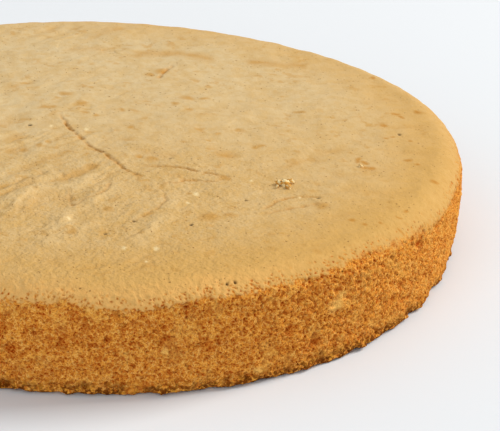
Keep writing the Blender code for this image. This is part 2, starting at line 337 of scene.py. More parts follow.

# Pinholes, dark with painted shade, brown freckles, pale flecks and golden stains of the skin: place in the
# plan, and radius
PINHOLES = (
    (0.0240, -0.0298, 0.0006),
    (0.0110, -0.0816, 0.0008),
    (0.0289, -0.0837, 0.0008),
    (-0.0250, 0.0004, 0.0010),
    (0.0479, -0.0625, 0.0007),
    (0.0717, -0.0610, 0.0008),
    (0.0020, -0.0908, 0.0006),
    (0.1075, -0.0019, 0.0009),
    (0.0382, -0.1216, 0.0006),
    (0.0407, -0.1206, 0.0006),
)
FRECKLES = (
    (0.1064, 0.0593, 0.0020),
    (0.1094, 0.0188, 0.0020),
    (0.1104, 0.0158, 0.0018),
    (0.1025, 0.0063, 0.0015),
    (0.1045, -0.0047, 0.0014),
    (0.1025, -0.0066, 0.0014),
    (0.1075, -0.0259, 0.0020),
    (0.1094, -0.0300, 0.0017),
    (0.1183, 0.0213, 0.0022),
    (0.1104, -0.0080, 0.0014),
    (0.1175, 0.0856, 0.0020),
    (0.0926, -0.0343, 0.0022),
    (0.0848, -0.0808, 0.0012),
    (0.0808, -0.0786, 0.0016),
    (0.0896, -0.0805, 0.0012),
    (0.0967, -0.0744, 0.0012),
    (0.1001, -0.0696, 0.0012),
    (0.1134, -0.0447, 0.0016),
    (0.0887, -0.0288, 0.0016),
    (0.0961, -0.0813, 0.0010),
    (0.0889, -0.0270, 0.0020),
    (0.0917, -0.0295, 0.0018),
    (0.0905, -0.0341, 0.0022),
    (0.0929, -0.0340, 0.0018),
)
PALE_FLECKS = (
    (-0.0095, -0.0815, 0.0007),
    (0.0077, -0.1015, 0.0008),
    (0.0175, -0.1012, 0.0010),
    (0.0286, -0.0668, 0.0008),
    (0.0506, -0.0468, 0.0006),
    (-0.0175, -0.0006, 0.0007),
    (-0.0051, -0.0029, 0.0010),
    (0.0658, -0.0602, 0.0007),
    (0.0316, -0.0586, 0.0012),
    (0.0143, -0.1111, 0.0006),
)
FLECK_DEPTH = 1.8  # a fleck stands proud, and is seen as round from the photograph's low view
STAINS = (
    (0.0434, -0.0259, 0.0050),
    (0.0349, -0.0776, 0.0045),
    (-0.0027, -0.0371, 0.0034),
    (0.0544, -0.0170, 0.0026),
    (-0.0076, 0.0223, 0.0030),
    (-0.0133, 0.0326, 0.0030),
    (0.0324, 0.0300, 0.0036),
    (0.0723, -0.0680, 0.0026),
    (0.0177, -0.0308, 0.0028),
    (0.0419, -0.0455, 0.0028),
    (0.0418, -0.0757, 0.0030),
    (0.0671, -0.1014, 0.0024),
    (0.0227, 0.0597, 0.0030),
    (-0.0203, 0.0174, 0.0022),
    (-0.0177, 0.0186, 0.0020),
    (-0.0060, 0.0140, 0.0016),
    (-0.0017, 0.0112, 0.0018),
    (0.0133, -0.0283, 0.0018),
    (0.0273, 0.0233, 0.0024),
    (0.0327, 0.0183, 0.0024),
    (0.0078, 0.0169, 0.0018),
    (0.0105, -0.0012, 0.0018),
    (-0.0261, -0.0219, 0.0022),
    (-0.0208, -0.0189, 0.0018),
    (0.0290, -0.0578, 0.0018),
    (0.0161, -0.0767, 0.0022),
    (0.0034, -0.0733, 0.0022),
    (-0.0083, -0.0904, 0.0022),
    (-0.0174, -0.0160, 0.0018),
    (0.0355, -0.0017, 0.0020),
    (0.0566, -0.0159, 0.0022),
    (0.0499, -0.0009, 0.0020),
    (0.0387, 0.0293, 0.0020),
    (0.0187, 0.0559, 0.0024),
    (0.0733, 0.0178, 0.0020),
)
LINES_BELOW_RIM = 0.003  # how far below the rim the skin's lines and its spots reach
SPOTS_BELOW_RIM = 0.006

# Spots of the wall: direction round the cake in degrees, height, and radius
HOLLOWS = (
    (-98.1, 0.0210, 0.0012),
    (-94.7, 0.0182, 0.0018),
    (-101.4, 0.0149, 0.0024),
    (-88.7, 0.0196, 0.0012),
    (-86.6, 0.0235, 0.0012),
    (-79.8, 0.0150, 0.0018),
    (-81.2, 0.0230, 0.0015),
    (-75.7, 0.0164, 0.0022),
    (-63.2, 0.0165, 0.0022),
    (-42.9, 0.0134, 0.0020),
    (-61.9, 0.0261, 0.0016),
)
FOOT_PITS = (
    (-102.1, 0.0026, 0.0022),
    (-91.4, 0.0032, 0.0018),
    (-82.9, 0.0019, 0.0022),
    (-72.4, 0.0034, 0.0014),
    (-57.5, 0.0042, 0.0016),
    (-63.0, 0.0022, 0.0020),
)
PALE_PATCHES = (
    (-55.8, 0.0209, 0.0034),
    (-54.8, 0.0238, 0.0020),
    (-81.2, 0.0156, 0.0014),
    (-68.0, 0.0050, 0.0018),
)

# Crumbs on the skin: place in the plan, and size
CRUMBS = (
    (0.0618, -0.0496, 0.0040),
    (0.0638, -0.0484, 0.0032),
    (0.0597, -0.0488, 0.0026),
    (0.0628, -0.0522, 0.0024),
    (0.0590, -0.0520, 0.0014),
    (0.0895, -0.0330, 0.0022),
    (0.0463, 0.1013, 0.0014),
)
FIRST_CRUMB_CHANNEL = 100
CHANNELS_PER_CRUMB = 7
CRUMB_MEAN_RADIUS = 0.78  # of a ball of the crumb's size
CRUMB_SQUASH = 0.85
CRUMB_RISE = 0.05  # how high a crumb's middle lies above the skin, in sizes of the crumb

# Colours of the skin
SKIN_PALE = (0.64, 0.485, 0.262, 1)
SKIN_GOLD = (0.57, 0.37, 0.142, 1)
SKIN_BAKED = (0.59, 0.335, 0.088, 1)
# the blush's colour, also painted shade in the folds' valleys
SKIN_BLUSH_AND_VALLEY_SHADE = (0.52, 0.275, 0.066, 1)
# painted light on the folds' crests
SKIN_RIDGE_LIGHT = (0.74, 0.54, 0.270, 1)
# painted shade in tiny pinpricks of the skin, drawn in colour only
SKIN_PINPRICK_SHADE = (0.26, 0.12, 0.03, 1)
# painted light on the skin just above its edge
SKIN_EDGE_LIGHT = (0.76, 0.41, 0.120, 1)
FLECK = (0.86, 0.68, 0.36, 1)
FRECKLE = (0.48, 0.21, 0.028, 1)
# painted shade in the bottoms of the creases
CREASE_SHADE = (0.46, 0.20, 0.030, 1)
# painted shade in the pinholes
PINHOLE_SHADE = (0.03, 0.012, 0.004, 1)

# Colours of the crumb, of the foot and of the loose crumbs
# paler threads of the crumb, brightened further as a painted highlight
PALE_LIT_THREAD = (0.96, 0.56, 0.150, 1)
CRUMB_WALLS = (0.80, 0.335, 0.045, 1)
# painted shade in the crumb's pores, also the colour of its browned drifts
CRUMB_PORE_SHADE_AND_BROWN = (0.36, 0.050, 0.0001, 1)
CRUMB_PALE = (0.84, 0.50, 0.110, 1)
CRUMB_PATCH = (0.96, 0.56, 0.140, 1)
FOOT_TOASTED = (0.15, 0.036, 0.002, 1)
FOOT_YELLOW = (0.82, 0.37, 0.040, 1)
LOOSE_PALE = (0.84, 0.68, 0.36, 1)
LOOSE_GOLD = (0.60, 0.29, 0.050, 1)

# Patterns of the colours: length, detail, the noise at which each sets in and is full, and, where these
# aren't 0 and 1, its strength at each
SKIN_PATCHES = (0.018, 3.0, 0.36, 0.66)
SKIN_MOTTLE = (0.0035, 4.0, 0.38, 0.66)
# painted shade of the skin's fine grain, in place of part of its bump
SKIN_SPECKLE = (0.0008, 2.0, 0.35, 0.68)
BLUSHES = (0.0038, 3.0, 0.55, 0.68)
BLUSHED_AREAS = (0.020, 2.0, 0.40, 0.60)
EDGE_MOTTLE = (0.0014, 3.0, 0.36, 0.62, 0.40, 0.85)
DOTTED_AREAS = (0.009, 2.0, 0.40, 0.56)
CRUMB_GRAIN = (0.0006, 2.0, 0.36, 0.64)
PALE_DRIFTS = (0.0060, 3.0, 0.50, 0.66)
BROWNED_DRIFTS = (0.0045, 4.0, 0.48, 0.36)
YELLOW_GRAINS = (0.0019, 2.0, 0.52, 0.62)
TOASTED_PATCHES = (0.0065, 2.0, 0.26, 0.50)
TOASTED_SPOTS = (0.0012, 3.0, 0.39, 0.54)
LOOSE_MOTTLE = (0.0014, 3.0, 0.40, 0.56)
TOASTED_PIT = 0.7  # how toasted a pit of the foot is
SMALL_CELL = 0.0009
SKIN_DOT_CELL = 0.0020
SKIN_DOT_REACH = 0.19
DOT_CORE = 0.4
CELL_BEND = 0.8
CELL_WALL = (0.04, 0.28)
THREADS = (0.0017, 3.0)  # length and detail
THREAD_WIDTH = 0.035
THREAD_PITS = (0.6, 0.1)  # how deep in a pore the threads stop, and how deep they are whole

# Height of a fold at which it is tinted, from and to, and the share of the tint at each: painted shade in the
# valleys, painted light on the crests
FOLD_VALLEY_SHADE = (0.50, 0.15, 0.0, 0.60)
FOLD_CREST_LIGHT = (0.55, 1.00, 0.0, 0.25)

# How matt the skin, the crumb and the rest are, how little they shine, and how much the bumps show
SKIN_ROUGHNESS = 0.58
CRUMB_ROUGHNESS = 0.95
MATT = 0.9
SPONGE_SHINE = 0.05
LOOSE_CRUMB_SHINE = 0.1
COARSE_BUMP = (0.25, 1.0)  # on the smooth skin, and on the rough skin and the crumb
ROUGH_SKIN_BUMP = 0.75
FINE_BUMP = (0.30, 1.0)  # on the skin, and on the crumb
SPECKLE_RANGE = (0.35, 1.2)  # on the smooth skin, and on the rough skin

# The floor, the light of the room and the photograph's camera, as fitted to the outline of the cake
FLOOR_REACH = 30
FLOOR_COLOUR = (0.72, 0.745, 0.765, 1)
ROOM_COLOUR = (0.95, 0.97, 1.0, 1)
ROOM_STRENGTH = 0.58
CAMERA_PLACE = (0.0, -0.6014, 0.2702)
CAMERA_RIGHT = Vector((0.9964, -0.07034, 0.04729))
CAMERA_UP = Vector((-0.01461, 0.40706, 0.91329))
CAMERA_LENS = 129.6
CAMERA_SENSOR = 36
CAMERA_NEAR = 0.01


def shuffled(cells, channel):
    """A fixed number from 0 to 1 for each cell of a lattice, the same in every run."""
    x, y, z = cells.astype(np.int64)
    mixed = ((x * 73856093) ^ (y * 19349663) ^ (z * 83492791) ^ (channel * 2654435761)) & 0xFFFFFFFF
    mixed = ((mixed ^ (mixed >> 13)) * 1274126177) & 0xFFFFFFFF
    return ((mixed ^ (mixed >> 16)) & 0xFFFFFF) / 0xFFFFFF


def swells(places, length, channel):
    """Smooth noise of about -1 to 1, with swells of the given length."""
    at = places / length
    corner = np.floor(at)
    t = at - corner
    ease = t * t * t * (t * (t * 6 - 15) + 10)
    total = np.zeros(at.shape[1])
    for step in itertools.product((0, 1), repeat=3):
        shift = np.array(step)[:, None]
        weight = np.prod(np.where(shift == 1, ease, 1 - ease), axis=0)
        slope = np.array([shuffled(corner + shift, channel + axis) - 0.5 for axis in range(3)])
        total += weight * (slope * (t - shift)).sum(axis=0)
    return SWELL_SCALE * total


def uneven(places, listed):
    """The sum of some swells, each with its length, size and channel."""
    return sum(size * swells(places, length, channel) for length, size, channel in listed)


def bent(places, length, size, channel):
    """The places, each moved a little, so that what is drawn at them is bent out of true."""
    return places + size * np.array([swells(places, length, channel + 3 * axis) for axis in range(3)])


def cells(places, size, channel):
    """The distance to the nearest of some scattered centres, in cell sizes, and that centre's own number."""
    at = places / size
    home = np.floor(at)
    nearest = np.full(at.shape[1], np.inf)
    own = np.zeros(at.shape[1])
    for step in itertools.product((-1, 0, 1), repeat=3):
        cell = home + np.array(step)[:, None]
        centre = cell + np.array([shuffled(cell, channel + axis) for axis in range(3)])
        distance = np.sqrt(((at - centre) ** 2).sum(axis=0))
        closer = distance < nearest
        nearest = np.where(closer, distance, nearest)
        own = np.where(closer, shuffled(cell, channel + 3), own)
    return nearest, own


def bowls(places, size, share, channel):
    """Round pores, 1 at the bottom and 0 outside, in the given share of the cells."""
    nearest, own = cells(places, size, channel)
    reach = LEAST_PORE + PORE_RANGE * own / share
    return np.where(own < share, np.clip(1 - (nearest / reach) ** 2, 0, 1), 0)


def smooth(low, high, value):
    """A soft step from 0 at the low value to 1 at the high one."""
    t = np.clip((value - low) / (high - low), 0, 1)
    return t * t * (3 - 2 * t)


def profile():
    """The profile from the underside's middle round to the top's middle: run, radius and height."""
    wall_top = RIM_HEIGHT - SHOULDER_DROP
    top_radius = RADIUS - SHOULDER_WIDTH
    points = [(0.0, 0.0), (RADIUS - FOOT_INSET - FOOT_ROUND, 0.0)]
    for t in np.linspace(0.0, 1.0, WALL_POINTS):
        height = FOOT_ROUND + (wall_top - FOOT_ROUND) * t
        points.append((RADIUS - FOOT_INSET * (1 - t) + WALL_BULGE * math.sin(math.pi * t), height))
    for turn in np.linspace(0.0, CORNER_TURN, CORNER_POINTS + 1)[1:]:
        radius = RADIUS - CORNER_RADIUS * (1 - math.cos(turn))
        points.append((radius, wall_top + CORNER_RADIUS * math.sin(turn)))
    for turn in np.linspace(SHOULDER_TURN, 0.0, SHOULDER_POINTS + 1)[1:]:
        radius = top_radius + SHOULDER_RADIUS * math.sin(turn)
        points.append((radius, RIM_HEIGHT - SHOULDER_RADIUS * (1 - math.cos(turn))))
    for share in np.linspace(1.0, 0.0, TOP_POINTS)[1:]:
        points.append((top_radius * share, RIM_HEIGHT + DOME_RISE * (1 - share**2)))
    radius, height = np.array(points).T
    run = np.concatenate([[0.0], np.cumsum(np.hypot(np.diff(radius), np.diff(height)))])
    return run, radius, height


RUN, PROFILE_RADIUS, PROFILE_HEIGHT = profile()
TOP_EDGE_POINT = 1 + WALL_POINTS + CORNER_POINTS + SHOULDER_POINTS
RUN_AT_FOOT = float(RUN[1])
RUN_AT_TOP_EDGE = float(RUN[TOP_EDGE_POINT])
RUN_AT_INNER_TOP = RUN_AT_TOP_EDGE + OUTER_TOP_WIDTH
RUN_AT_MIDDLE = float(RUN[-1])
RUN_AT_UNDERSIDE = RUN_AT_FOOT - UNDERSIDE_BORDER


def cell_at(run):
    """The size of a mesh cell at a place on the profile."""
    if run < RUN_AT_FOOT:
        return min(BASE_CELL, WALL_CELL + (RUN_AT_FOOT - run) * BASE_GROWTH)
    if run < RUN_AT_INNER_TOP:
        return min(OUTER_TOP_CELL, WALL_CELL + max(0.0, run - RUN_AT_TOP_EDGE) * OUTER_TOP_GROWTH)
    return TOP_CELL


def ring_runs():
    """Where on the profile each ring of points lies, from just off the underside's middle to the top's."""
    runs = [BASE_CELL]
    while runs[-1] < RUN_AT_MIDDLE - LAST_RING_GAP * TOP_CELL:
        runs.append(runs[-1] + cell_at(runs[-1]))
    return runs


def zipped(first, first_count, second, second_count):
    """Triangles that join two rings of points, which may differ in count."""
    first_steps = np.arange(1, first_count + 1) / first_count
    second_steps = np.arange(1, second_count + 1) / second_count
    on_first = np.argsort(np.concatenate([first_steps, second_steps]), kind="stable") < first_count
    past_first = np.cumsum(on_first)
    past_second = np.cumsum(~on_first)
    from_first = first + (past_first - on_first) % first_count
    from_second = second + (past_second - ~on_first) % second_count
    third = np.where(on_first, first + past_first % first_count, second + past_second % second_count)
    return np.stack([from_first, third, from_second], axis=1)


def rings():
    """The run and the angle of every point, and the triangles between them."""
    runs, angles, triangles = [], [], []
    start, before = 0, None
    for row, run in enumerate(ring_runs()):
        radius = float(np.interp(run, RUN, PROFILE_RADIUS))
        count = max(LEAST_IN_RING, round(math.tau * radius / cell_at(run)))
        turned = 0.5 * (row % 2) / count
        angles.append((np.arange(count) / count + turned) * math.tau)
        runs.append(np.full(count, run))
        if before:
            triangles.append(zipped(*before, start, count))
        else:
            underside = (start, count)
        before = (start, count)
        start += count
    for middle, (first, count), turn in ((start, underside, 1), (start + 1, before, -1)):
        around = first + np.arange(count)
        fan = np.stack([np.full(count, middle), np.roll(around, -1), around], axis=1)
        triangles.append(fan[:, ::turn])
    runs.append(np.array([0.0, RUN_AT_MIDDLE]))
    angles.append(np.zeros(2))
    return np.concatenate(runs), np.concatenate(angles), np.concatenate(triangles)


def plan_scale(angle):
    """How much wider than a circle the plan is in each direction round the cake."""
    return 1 + sum(size * np.cos(count * (angle - peak)) for count, size, peak in PLAN_WAVES) / RADIUS


def profile_slope(run):
    """How much the surface at a place on the profile faces outward, and how much upward."""
    ahead = np.minimum(run + NORMAL_REACH, RUN_AT_MIDDLE)
    behind = np.maximum(run - NORMAL_REACH, 0)
    outward = np.interp(ahead, RUN, PROFILE_HEIGHT) - np.interp(behind, RUN, PROFILE_HEIGHT)
    upward = np.interp(behind, RUN, PROFILE_RADIUS) - np.interp(ahead, RUN, PROFILE_RADIUS)
    length = np.hypot(outward, upward)
    return outward / length, upward / length


def skin_edge_run(angle):
    """How far along the profile the skin's lower edge lies, in each direction round the cake."""
    degrees = (np.degrees(angle) + 180) % 360 - 180
    known, heights = np.array(SKIN_EDGE).T
    height = np.interp(degrees, known, heights)
    around = np.array([np.cos(angle), np.sin(angle), np.zeros_like(angle)])
    hidden = HIDDEN_SKIN_EDGE + uneven(around, HIDDEN_EDGE_SWELLS)
    outside = np.maximum(known[0] - degrees, degrees - known[-1])
    outside = np.minimum(outside, 360 + known[0] - known[-1] - outside)
    height = height + (hidden - height) * smooth(0, SKIN_EDGE_BLEND, outside)
    upper = slice(1, TOP_EDGE_POINT + 1)
    return np.interp(height, PROFILE_HEIGHT[upper], RUN[upper])


def smooth_line(points):
    """Points a small gap apart on a Catmull-Rom curve through the given ones."""
    inner = [Vector(point) for point in points]
    through = [2 * inner[0] - inner[1], *inner, 2 * inner[-1] - inner[-2]]
    line = []
    for a, b, c, d in zip(through, through[1:], through[2:], through[3:]):
        steps = max(1, round((c - b).length / LINE_POINT_GAP))
        square = 2 * a - 5 * b + 4 * c - d
        cube = 3 * b - a - 3 * c + d
        for step in range(steps):
            t = step / steps
            line.append((2 * b + (c - a) * t + square * t**2 + cube * t**3) / 2)
    return np.array([*line, inner[-1]])


def near_line(places, points, bend):
    """The skin's points near a line: which they are, how far off it, and how far from fading at its ends."""
    line = smooth_line(points)
    low = line.min(axis=0) - LINE_MARGIN
    high = line.max(axis=0) + LINE_MARGIN
    in_x = (places[0] > low[0]) & (places[0] < high[0])
    in_y = (places[1] > low[1]) & (places[1] < high[1])
    near = np.flatnonzero(in_x & in_y & (places[2] > RIM_HEIGHT - LINES_BELOW_RIM))
    x, y, _ = bent(places[:, near], *bend)
    distance = np.full(len(near), np.inf)
    along = np.zeros(len(near))
    for step, (line_x, line_y) in enumerate(line):
        gap = np.hypot(x - line_x, y - line_y)
        closer = gap < distance
        distance = np.where(closer, gap, distance)
        along = np.where(closer, step / len(line), along)
    return near, distance, smooth(0, LINE_TAPER, along) * smooth(1, 1 - LINE_TAPER, along)


def patchy(places, length, channel, size, least, most):
    """A strength that comes and goes along a line."""
    return np.clip(PATCHES_MEAN + size * swells(places, length, channel), least, most)


def soft_lines(places, listed):
    """Soft lines of the skin, each of its own strength in the middle and 0 a few half widths off."""
    made = np.zeros(places.shape[1])
    for strength, width, points in listed:
        near, distance, taper = near_line(places, points, SOFT_LINE_BEND)
        share = taper * patchy(places[:, near], *SOFT_LINE_PATCHES)
        made[near] = np.maximum(made[near], strength * share * np.exp(-((distance / width) ** 2)))
    return made


def crease_relief(places):
    """How far the creases press the skin in, and how much painted shade their bottoms get."""
    pressed = np.zeros(places.shape[1])
    crease_shade = np.zeros(places.shape[1])
    for depth, width, points in CREASES:
        near, distance, taper = near_line(places, points, LINE_BEND)
        share = (CREASE_END + (1 - CREASE_END) * taper) * patchy(places[:, near], *CREASE_PATCHES)
        q = distance / width
        valley = np.exp(-(q**2))
        lip = CREASE_LIP * np.exp(-(((q - LIP_PLACE) / LIP_WIDTH) ** 2))
        pressed[near] = np.maximum(pressed[near], depth * share * (valley - lip))
        crease_shade[near] = np.maximum(crease_shade[near], np.clip(share * valley * depth / FULLY_SHADED_DEPTH, 0, 1))
    return pressed, crease_shade


def wrinkled(places, turn, gap, channel):
    """Long wrinkles of about a gap apart that run in one direction, and come and go."""
    along = places[0] * math.cos(turn) + places[1] * math.sin(turn)
    across = places[1] * math.cos(turn) - places[0] * math.sin(turn)
    curved = across + gap * swells(places, WRINKLE_BEND * gap, channel)
    drawn = np.array([along / WRINKLE_STRETCH, curved, np.zeros_like(along)])
    present = smooth(*WRINKLES_SET_IN, swells(places, WRINKLE_PATCH * gap, channel + 6))
    return swells(drawn, gap, channel + 3) * present


def wrinkles(places):
    """The skin's wrinkles: askew on the left of the cake, level and lower on the right."""
    right = smooth(*RIGHT_WRINKLES_X, places[0] + uneven(places, RIGHT_WRINKLES_START))
    relief = np.zeros(places.shape[1])
    sides = zip((1 - right, right), (LEFT_WRINKLES, RIGHT_WRINKLES), WRINKLE_CHANNELS)
    for share, turn, channel in sides:
        for gap, height, past in WRINKLES:
            relief += share * height * wrinkled(places, turn, gap, channel + past)
    calm = smooth(*CALM_WRINKLES_Y, places[1])
    return relief * (1 - WRINKLES_LOST_AT_RIGHT * right) * (1 - WRINKLES_LOST_AT_BACK * calm)


def spots(places, listed, depth=1.0):
    """Spots at listed places of the skin, 1 in the middle and 0 outside. The depth is in widths."""
    made = np.zeros(places.shape[1])
    on_skin = places[2] > RIM_HEIGHT - SPOTS_BELOW_RIM
    for x, y, radius in listed:
        distance = np.hypot(places[0] - x, (places[1] - y) / depth) / radius
        made = np.maximum(made, np.where(on_skin, np.clip(1 - distance**2, 0, 1), 0))
    return made


def wall_spots(places, angle, listed):
    """Ragged spots at listed places of the wall, 1 in the middle and 0 outside."""
    made = np.zeros(len(angle))
    ragged = 1 + uneven(places, WALL_SPOT_SWELLS)
    for degrees, level, radius in listed:
        turn = (angle - math.radians(degrees) + math.pi) % math.tau - math.pi
        distance = np.hypot(turn * RADIUS, places[2] - level) / radius
        made = np.maximum(made, np.clip(1 - distance**2 * ragged, 0, 1))
    return made


def pillows(places):
    """The skin's soft bumps."""
    raised = np.zeros(places.shape[1])
    for x, y, radius, rise in PILLOWS:
        distance = np.hypot(places[0] - x, places[1] - y) / radius
        raised += rise * np.clip(1 - distance**2, 0, 1) ** 2
    return raised * (places[2] > RIM_HEIGHT)


def turned_form():
    """The turned form without relief: where every point lies, where the crumb shows, and the triangles."""
    run, angle, triangles = rings()
    radius = np.interp(run, RUN, PROFILE_RADIUS) * plan_scale(angle)
    height = np.interp(run, RUN, PROFILE_HEIGHT)
    places = np.array([radius * np.cos(angle), radius * np.sin(angle), height])
    ragged = uneven(places, EDGE_SWELLS)
    above_edge = run - skin_edge_run(angle) + ragged
    softness = EDGE_SOFTNESS + RIGHT_EDGE_SOFTNESS * smooth(*SOFT_EDGE_X, places[0])
    return SimpleNamespace(
        run=run,
        angle=angle,
        triangles=triangles,
        places=places,
        ragged=ragged,
        above_edge=above_edge,
        crumb=smooth(softness, -softness, above_edge + uneven(places, EDGE_FRAY)),
        past_foot=run - RUN_AT_FOOT,
        past_top_edge=run - RUN_AT_TOP_EDGE,
    )


def crumb_surface(form):
    """The open crumb: its relief, and how deep in a pore each point lies, for the painted shade in its pores.
    """
    askew = bent(form.places, *PORE_BEND)
    fine = bowls(askew, *FINE_PORES)
    medium = bowls(askew * LARGER_PORES_SQUEEZE, *MEDIUM_PORES)
    large = bowls(askew * LARGER_PORES_SQUEEZE, *LARGE_PORES)
    hollow = np.maximum(wall_spots(form.places, form.angle, HOLLOWS), large)
    fewer = 1 - PORES_LOST_AT_RIGHT * smooth(*SHALLOW_PORES_X, form.places[0])
    pores = (FINE_PORE_DEPTH * fine + MEDIUM_PORE_DEPTH * medium) * fewer + HOLLOW_DEPTH * hollow
    underside = smooth(*UNDERSIDE_RUN, form.past_foot)
    waves = uneven(form.places, CRUMB_TEARS) + uneven(form.places, WALL_SWELLS)
    relief = waves * (1 - underside) - pores * (1 - PORES_LOST_BELOW * underside) - SKIN_THICKNESS
    # painted shade, darker deeper in the pores and hollows
    shade = (FINE_PORE_SHADE * fine + MEDIUM_PORE_SHADE * medium) * fewer + HOLLOW_SHADE * hollow
    return relief, shade


def foot_chips(form, foot_pit):
    """How far the foot is broken away, straight in towards the middle."""
    low = smooth(*CHIPPED_HEIGHT, form.places[2]) * smooth(*CHIPPED_RUN, form.past_foot)
    large = CHIP_DEPTH * np.clip(swells(form.places, *CHIPS) + CHIP_EXCESS, 0, 1)
    return low * (large + uneven(form.places, SMALL_CHIPS) + FOOT_PIT_DEPTH * foot_pit)


def edge_pits(form):
    """Where the skin is worn through to the crumb, in small pits that crowd towards its edge."""
    near_edge = smooth(*PITTED_ABOVE_EDGE, form.above_edge)
    share = EDGE_PIT_SHARE + EDGE_PIT_SHARE_MORE * near_edge
    to_left = smooth(*PITTED_EDGE_X, form.places[0])
    share *= EDGE_PITS_LEFT_AT_RIGHT + (1 - EDGE_PITS_LEFT_AT_RIGHT) * to_left
    askew = bent(form.places, *PORE_BEND)
    return bowls(askew, EDGE_PIT_CELL, share, EDGE_PIT_CHANNEL) * np.sqrt(near_edge)


def skin_surface(form):
    """The baked skin: its relief, and the marks on it that are coloured."""
    places = form.places
    on_top = smooth(*TOP_RUN, form.past_top_edge)
    pressed, crease = crease_relief(places)
    pinhole = spots(places, PINHOLES)
    smoother = ROUGHNESS_LOST_AT_RIGHT * smooth(*SMOOTH_SKIN_X, places[0])
    rough = smooth(*ROUGH_SKIN_Y, places[1]) * (1 - smoother)
    folds = wrinkles(places) * on_top + pillows(places) + soft_lines(places, RIDGES)
    edge_pit = edge_pits(form)
    grain = (GRAIN_DEPTH + ROUGH_GRAIN_DEPTH * rough) * swells(places, *GRAIN)
    relief = on_top * uneven(places, TOP_SWELLS) + uneven(places, SKIN_SWELLS) + grain + folds
    relief -= pressed + PINHOLE_DEPTH * pinhole + BLISTER_DEPTH * bowls(places, *BLISTERS) * on_top
    relief -= EDGE_PIT_DEPTH * edge_pit
    marks = {
        # painted shade in the creases' bottoms
        "crease": crease,
        "pinhole": pinhole,
        "rough": rough,
        # the folds' height, for painted shade in their valleys and painted light on their crests
        "fold": np.clip(0.5 + folds / FOLD_RANGE, 0, 1),
    }
    return relief, edge_pit, marks


def browning(form):
    """The skin's stains, golden bands and browned edge, how much its rim is baked, and how much browner its
    front is than its back, whose paler tone is a painted sheen.
    """
    x, y, _ = form.places
    stain = np.maximum(spots(bent(form.places, *STAIN_BEND), STAINS), soft_lines(form.places, BANDS))
    browned = smooth(*BROWNED_ABOVE_EDGE, form.above_edge + 2 * form.ragged)
    stain = np.maximum(stain, BROWNED_EDGE * browned * smooth(*BROWNED_EDGE_X, x))
    # browner towards the front, paler towards the back: the paler back is a painted sheen
    askance = np.where(x < 0, *SHEEN_LINE_SLANTS) * x
    to_front = smooth(*UNSHEENED_FRONT_Y, y - askance)
    more = BAKED_RIM_LEFT_AT_LEFT + (1 - BAKED_RIM_LEFT_AT_LEFT) * smooth(*BAKED_RIM_X, x)
    to_rim = smooth(*BAKED_RIM_RUN, form.past_top_edge) * more
    return {"stain": stain, "baked": (to_rim + to_front) / 2}


def sponge_surface():
    """The turned form with its relief, and with the facts that its colour depends on."""
    form = turned_form()
    places = form.places
    foot_pit = wall_spots(places, form.angle, FOOT_PITS)
    crumb_relief, pit = crumb_surface(form)
    skin_relief, edge_pit, marks = skin_surface(form)
    worn = smooth(*WORN_PIT, edge_pit) * (1 - form.crumb)
    form.facts = {
        "crumb": np.maximum(form.crumb, worn),
        # painted shade in the crumb's pores, hollows and worn pits
        "pit": np.clip(pit + WORN_SHADE * worn, 0, 1),
        "foot": smooth(*FOOT_HEIGHT, places[2]),
        "toasted": foot_pit,
        "pale": wall_spots(places, form.angle, PALE_PATCHES),
        "fleck": spots(places, PALE_FLECKS, FLECK_DEPTH),
        "freckle": spots(bent(places, *STAIN_BEND), FRECKLES),
        # painted light on the skin just above its edge, on the left
        "edge": smooth(*LIT_ABOVE_EDGE, form.above_edge) * (1 - smooth(*BROWNED_EDGE_X, places[0])),
        **marks,
        **browning(form),
    }
    relief = form.crumb * crumb_relief + (1 - form.crumb) * skin_relief
    relief *= 1 - RELIEF_LOST_IN_MIDDLE * smooth(*CALM_MIDDLE_RUN, form.run)
    outward, upward = profile_slope(form.run)
    pushed = relief * outward - foot_chips(form, foot_pit)
    x = places[0] + pushed * np.cos(form.angle)
    y = places[1] + pushed * np.sin(form.angle)
    form.places = np.array([x, y, np.maximum(places[2] + relief * upward, 0)])
    return form


def point_normals(places, triangles):
    """The direction that the surface faces at each point."""
    a, b, c = (places[:, triangles[:, corner]] for corner in range(3))
    face = np.cross((b - a).T, (c - a).T)
    normals = np.zeros((places.shape[1], 3))
    for axis in range(3):
        weights = np.tile(face[:, axis], 3)
        normals[:, axis] = np.bincount(triangles.T.ravel(), weights=weights, minlength=len(normals))
    return normals / np.maximum(np.linalg.norm(normals, axis=1), 1e-12)[:, None]


def placed(name, data):
    """A new object of the given name and data, in the scene."""
    made = bpy.data.objects.new(name, data)
    bpy.context.scene.collection.objects.link(made)
    return made


def surface_piece(name, form, normals, triangles, material):
    """One piece of the cake's surface, made of some of its triangles."""
    used, corners = np.unique(triangles, return_inverse=True)
    mesh = bpy.data.meshes.new(name)
    mesh.from_pydata(form.places[:, used].T.tolist(), [], corners.reshape(-1, 3).tolist())
    for fact, values in form.facts.items():
        attribute = mesh.attributes.new(fact, "FLOAT", "POINT")
        attribute.data.foreach_set("value", values[used].astype(np.float32))
    mesh.shade_smooth()
    mesh.normals_split_custom_set_from_vertices(normals[used].tolist())
    mesh.materials.append(material)
    return placed(name, mesh)


